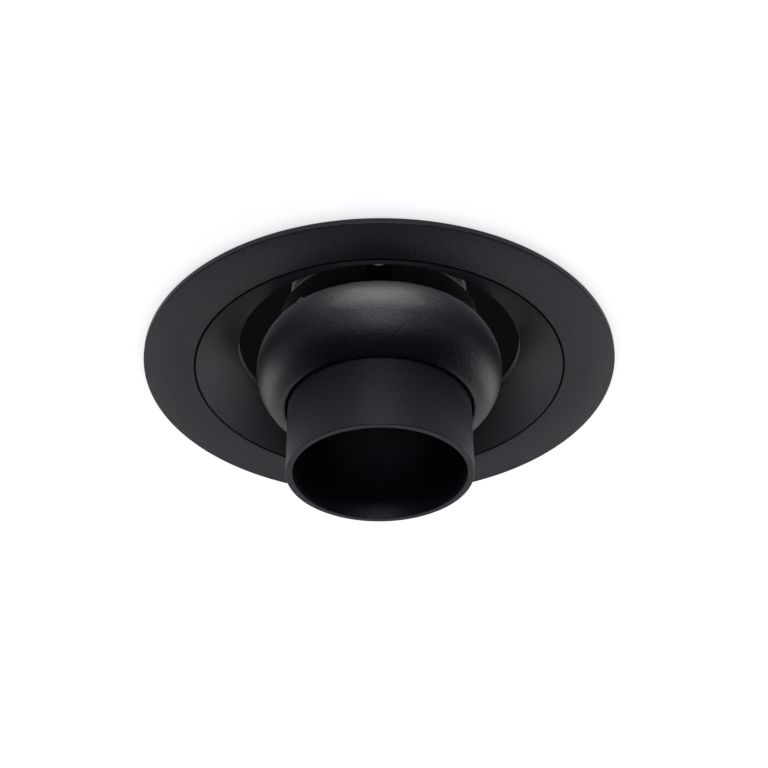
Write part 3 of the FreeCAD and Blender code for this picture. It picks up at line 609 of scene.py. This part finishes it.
def makeClipPad(s, side, turn):
    pad = block((s["from"], -s["half"], s["low"]), (s["to"], s["half"], s["high"]))
    pad.name = pad.data.name = "clipPad" + side
    pitch = (s["to"] - s["from"]) / (s["grooves"] + 1)
    for index in range(s["grooves"]):
        middle = s["from"] + pitch * (index + 1)
        for edge in (s["low"], s["high"]):
            low = (middle - s["grooveWidth"] / 2, -s["half"] - 1, edge - s["grooveDepth"])
            high = (middle + s["grooveWidth"] / 2, s["half"] + 1, edge + s["grooveDepth"])
            combine(pad, block(low, high), "DIFFERENCE")
    soften(pad, s["edge"])
    pocket = block((s["from"] - 1, -s["pocketHalf"], s["pocketLow"]),
                   (s["pocketTo"], s["pocketHalf"], s["pocketHigh"]))
    combine(pad, pocket, "DIFFERENCE")
    pad.rotation_euler = (0, math.radians(s["slope"]), 0)
    pad.location = Vector(s["hinge"]) * mm
    settle(pad)
    pad.rotation_euler = (0, 0, turn)
    settle(pad)
    finished(pad, "clip_" + side.lower(), "clip_pad_" + side.lower(), "silicone")


makeHeatSink(heatSink)
makeReflectorBowl(reflector)
makeLightSource(lightSource)
makeClipPad(clipPad, "Right", 0)
makeClipPad(clipPad, "Left", math.pi)
print("inner pieces made")


# ---- soffit, the backdrop

soffit = {"hole": 65.5 * mm, "reach": 3.0, "height": 0.02 * mm, "diffuse": 0.80, "glow": 0.68, "glossGlow": 0.38,
          "steps": 192}


def makeSoffit(s):
    bpy.ops.object.select_all(action="DESELECT")
    bpy.ops.mesh.primitive_circle_add(vertices=s["steps"], radius=s["hole"], location=(0, 0, s["height"]))
    board = bpy.context.object
    board.name = "soffitBoard"
    bpy.ops.object.mode_set(mode="EDIT")
    bpy.ops.mesh.select_all(action="SELECT")
    bpy.ops.mesh.extrude_region_move()
    bpy.ops.transform.resize(value=(s["reach"] / s["hole"], s["reach"] / s["hole"], 1))
    bpy.ops.mesh.select_all(action="SELECT")
    bpy.ops.mesh.normals_make_consistent(inside=False)
    bpy.ops.object.mode_set(mode="OBJECT")
    if board.data.polygons[0].normal.z > 0:
        bpy.ops.object.mode_set(mode="EDIT")
        bpy.ops.mesh.select_all(action="SELECT")
        bpy.ops.mesh.flip_normals()
        bpy.ops.object.mode_set(mode="OBJECT")
    board.data.materials.append(makeSoffitPaint(s))
    bpy.ops.object.select_all(action="DESELECT")


def makeSoffitPaint(s):
    # white from below with a soft shadow, see-through from above
    material, nodes, links, shader = newMaterial("whiteSoffit")
    shader.inputs["Base Color"].default_value = (s["diffuse"], s["diffuse"], s["diffuse"], 1)
    shader.inputs["Roughness"].default_value = 1.0
    shader.inputs["Specular IOR Level"].default_value = 0.0
    path = nodes.new("ShaderNodeLightPath")
    glow = nodes.new("ShaderNodeEmission")
    toCamera = span(nodes, links, path.outputs["Is Camera Ray"], 0.0, s["glow"])
    toGloss = span(nodes, links, path.outputs["Is Glossy Ray"], 0.0, s["glossGlow"])
    links.new(reckon(nodes, links, "ADD", toCamera, toGloss), glow.inputs["Strength"])
    together = nodes.new("ShaderNodeAddShader")
    links.new(shader.outputs["BSDF"], together.inputs[0])
    links.new(glow.outputs["Emission"], together.inputs[1])
    back = nodes.new("ShaderNodeNewGeometry").outputs["Backfacing"]
    fromAbove = reckon(nodes, links, "MULTIPLY", back, path.outputs["Is Camera Ray"])
    clear = nodes.new("ShaderNodeBsdfTransparent").outputs["BSDF"]
    links.new(mixed(nodes, links, fromAbove, together.outputs["Shader"], clear),
              nodes["Material Output"].inputs["Surface"])
    return material


makeSoffit(soffit)
print("soffit made")


# ---- light

# the sky as diffuse light below and above the horizon, as a backdrop (dark where a look from below
# meets it through the gap round the ball), and as reflections from the near to the far side
sky = {"tint": (0.88, 0.93, 1.0), "lowFill": 0.30, "highFill": 0.55, "pale": 1.0, "dark": 0.004, "steep": 0.26,
       "lowGloss": (0.0, 0.09), "highGloss": (0.06, 0.45)}
recess = ["ballShell", "ballCollar", "swivelRing", "snootTube", "stop_ring", "upper_guide_ring"]
blockers = ["ballShell", "snootTube"]
warm = (1.0, 0.94, 0.82)
reach = 1.2  # metres from the aim to every lamp
aim = Vector((0, 0, -12 * mm))
lamps = [
    {"name": "farLamp", "turn": 90, "climb": -38, "size": (0.50, 0.45), "power": 1.0},
    {"name": "farSideLamp", "turn": 60, "climb": -28, "size": (0.45, 0.60), "power": 1.85, "pair": 0.85},
    {"name": "skimLamp", "turn": 30, "climb": -4, "size": (0.40, 0.12), "power": 1.2, "pair": 0.85},
    {"name": "nearLamp", "turn": -90, "climb": -5, "size": (0.30, 0.12), "power": 3.8},
    {"name": "ballLamp", "turn": -90, "climb": 48, "size": (1.10, 0.24), "power": 26, "colour": warm,
     "lights": ["ballShell"]},
    {"name": "ballFarLamp", "turn": 40, "climb": 4, "size": (0.55, 0.45), "power": 1.5, "pair": 0.9, "colour": warm,
     "lights": ["ballShell"]},
    {"name": "topLamp", "turn": 90, "climb": 62, "size": (0.50, 0.36), "power": 14, "misses": recess},
]


def makeWorld(s):
    studio = bpy.data.worlds.new("studio")
    bpy.context.scene.world = studio
    studio.use_nodes = True
    nodes, links = studio.node_tree.nodes, studio.node_tree.links
    split = nodes.new("ShaderNodeSeparateXYZ")
    links.new(nodes.new("ShaderNodeTexCoord").outputs["Generated"], split.inputs["Vector"])
    above = reckon(nodes, links, "GREATER_THAN", split.outputs["Z"], 0.0)
    steep = reckon(nodes, links, "GREATER_THAN", split.outputs["Z"], s["steep"])
    fill = nodes["Background"]
    fill.inputs["Color"].default_value = (*s["tint"], 1)
    links.new(span(nodes, links, above, s["lowFill"], s["highFill"]), fill.inputs["Strength"])
    seen = nodes.new("ShaderNodeBackground")
    seen.inputs["Color"].default_value = (1, 1, 1, 1)
    links.new(span(nodes, links, steep, s["pale"], s["dark"]), seen.inputs["Strength"])
    halves = []
    for strengths in (s["lowGloss"], s["highGloss"]):
        half = nodes.new("ShaderNodeBackground")
        links.new(span(nodes, links, split.outputs["Y"], *strengths), half.inputs["Strength"])
        halves.append(half.outputs["Background"])
    gloss = mixed(nodes, links, above, *halves)
    path = nodes.new("ShaderNodeLightPath").outputs
    light = mixed(nodes, links, path["Is Glossy Ray"], fill.outputs["Background"], gloss)
    direct = reckon(nodes, links, "MAXIMUM", path["Is Camera Ray"], path["Is Transmission Ray"])
    links.new(mixed(nodes, links, direct, light, seen.outputs["Background"]), nodes["World Output"].inputs["Surface"])


def makeLamp(settings, turn, side=""):
    light = bpy.data.lights.new(settings["name"] + side, "AREA")
    light.shape = "RECTANGLE"
    light.size, light.size_y = settings["size"]
    light.energy = settings["power"]
    light.color = settings.get("colour", (1, 1, 1))
    lamp = bpy.data.objects.new(light.name, light)
    a, climb = math.radians(turn), math.radians(settings["climb"])
    way = Vector((math.cos(a) * math.cos(climb), math.sin(a) * math.cos(climb), math.sin(climb)))
    lamp.location = way * reach + aim
    lamp.rotation_euler = way.to_track_quat("Z", "Y").to_euler()
    bpy.context.scene.collection.objects.link(lamp)
    if "lights" in settings:
        lamp.light_linking.receiver_collection = groupOf(settings["lights"], "INCLUDE")
        lamp.light_linking.blocker_collection = groupOf(blockers, "INCLUDE")
    if "misses" in settings:
        lamp.light_linking.receiver_collection = groupOf(settings["misses"], "EXCLUDE")


def groupOf(pieces, state):
    # a light-linking group, made once
    name = state.lower() + "".join(pieces)
    group = bpy.data.collections.get(name)
    if group is None:
        group = bpy.data.collections.new(name)
        for piece in pieces:
            group.objects.link(bpy.data.objects[piece])
        for member in group.collection_objects:
            member.light_linking.link_state = state
    return group


makeWorld(sky)
for settings in lamps:
    makeLamp(settings, settings["turn"])
    if "pair" in settings:
        makeLamp({**settings, "power": settings["power"] * settings["pair"]}, 180 - settings["turn"], "Left")
print("light set")


# ---- camera, from below and the near side

view = {"lens": 71.25, "sensor": 36, "nearest": 0.01, "distance": 461.5 * mm, "climb": 34.72, "roll": 0.516,
        "face": Vector((0, 0, -2.6 * mm)), "right": 1.375 * mm, "down": 2.48 * mm}


def makeCamera(s):
    climb = math.radians(s["climb"])
    ahead = Vector((0, math.cos(climb), math.sin(climb)))
    up = Vector((0, -math.sin(climb), math.cos(climb)))
    place = s["face"] - ahead * s["distance"]
    target = s["face"] + Vector((s["right"], 0, 0)) - up * s["down"]
    camera = bpy.data.objects.new("camera", bpy.data.cameras.new("camera"))
    camera.data.lens = s["lens"]
    camera.data.sensor_width = s["sensor"]
    camera.data.clip_start = s["nearest"]
    camera.location = place
    turn = (target - place).to_track_quat("-Z", "Y") @ Quaternion((0, 0, 1), -math.radians(s["roll"]))
    camera.rotation_euler = turn.to_euler()
    bpy.context.scene.collection.objects.link(camera)
    bpy.context.scene.camera = camera


makeCamera(view)
bpy.context.scene.view_settings.view_transform = "Standard"
print("camera set")
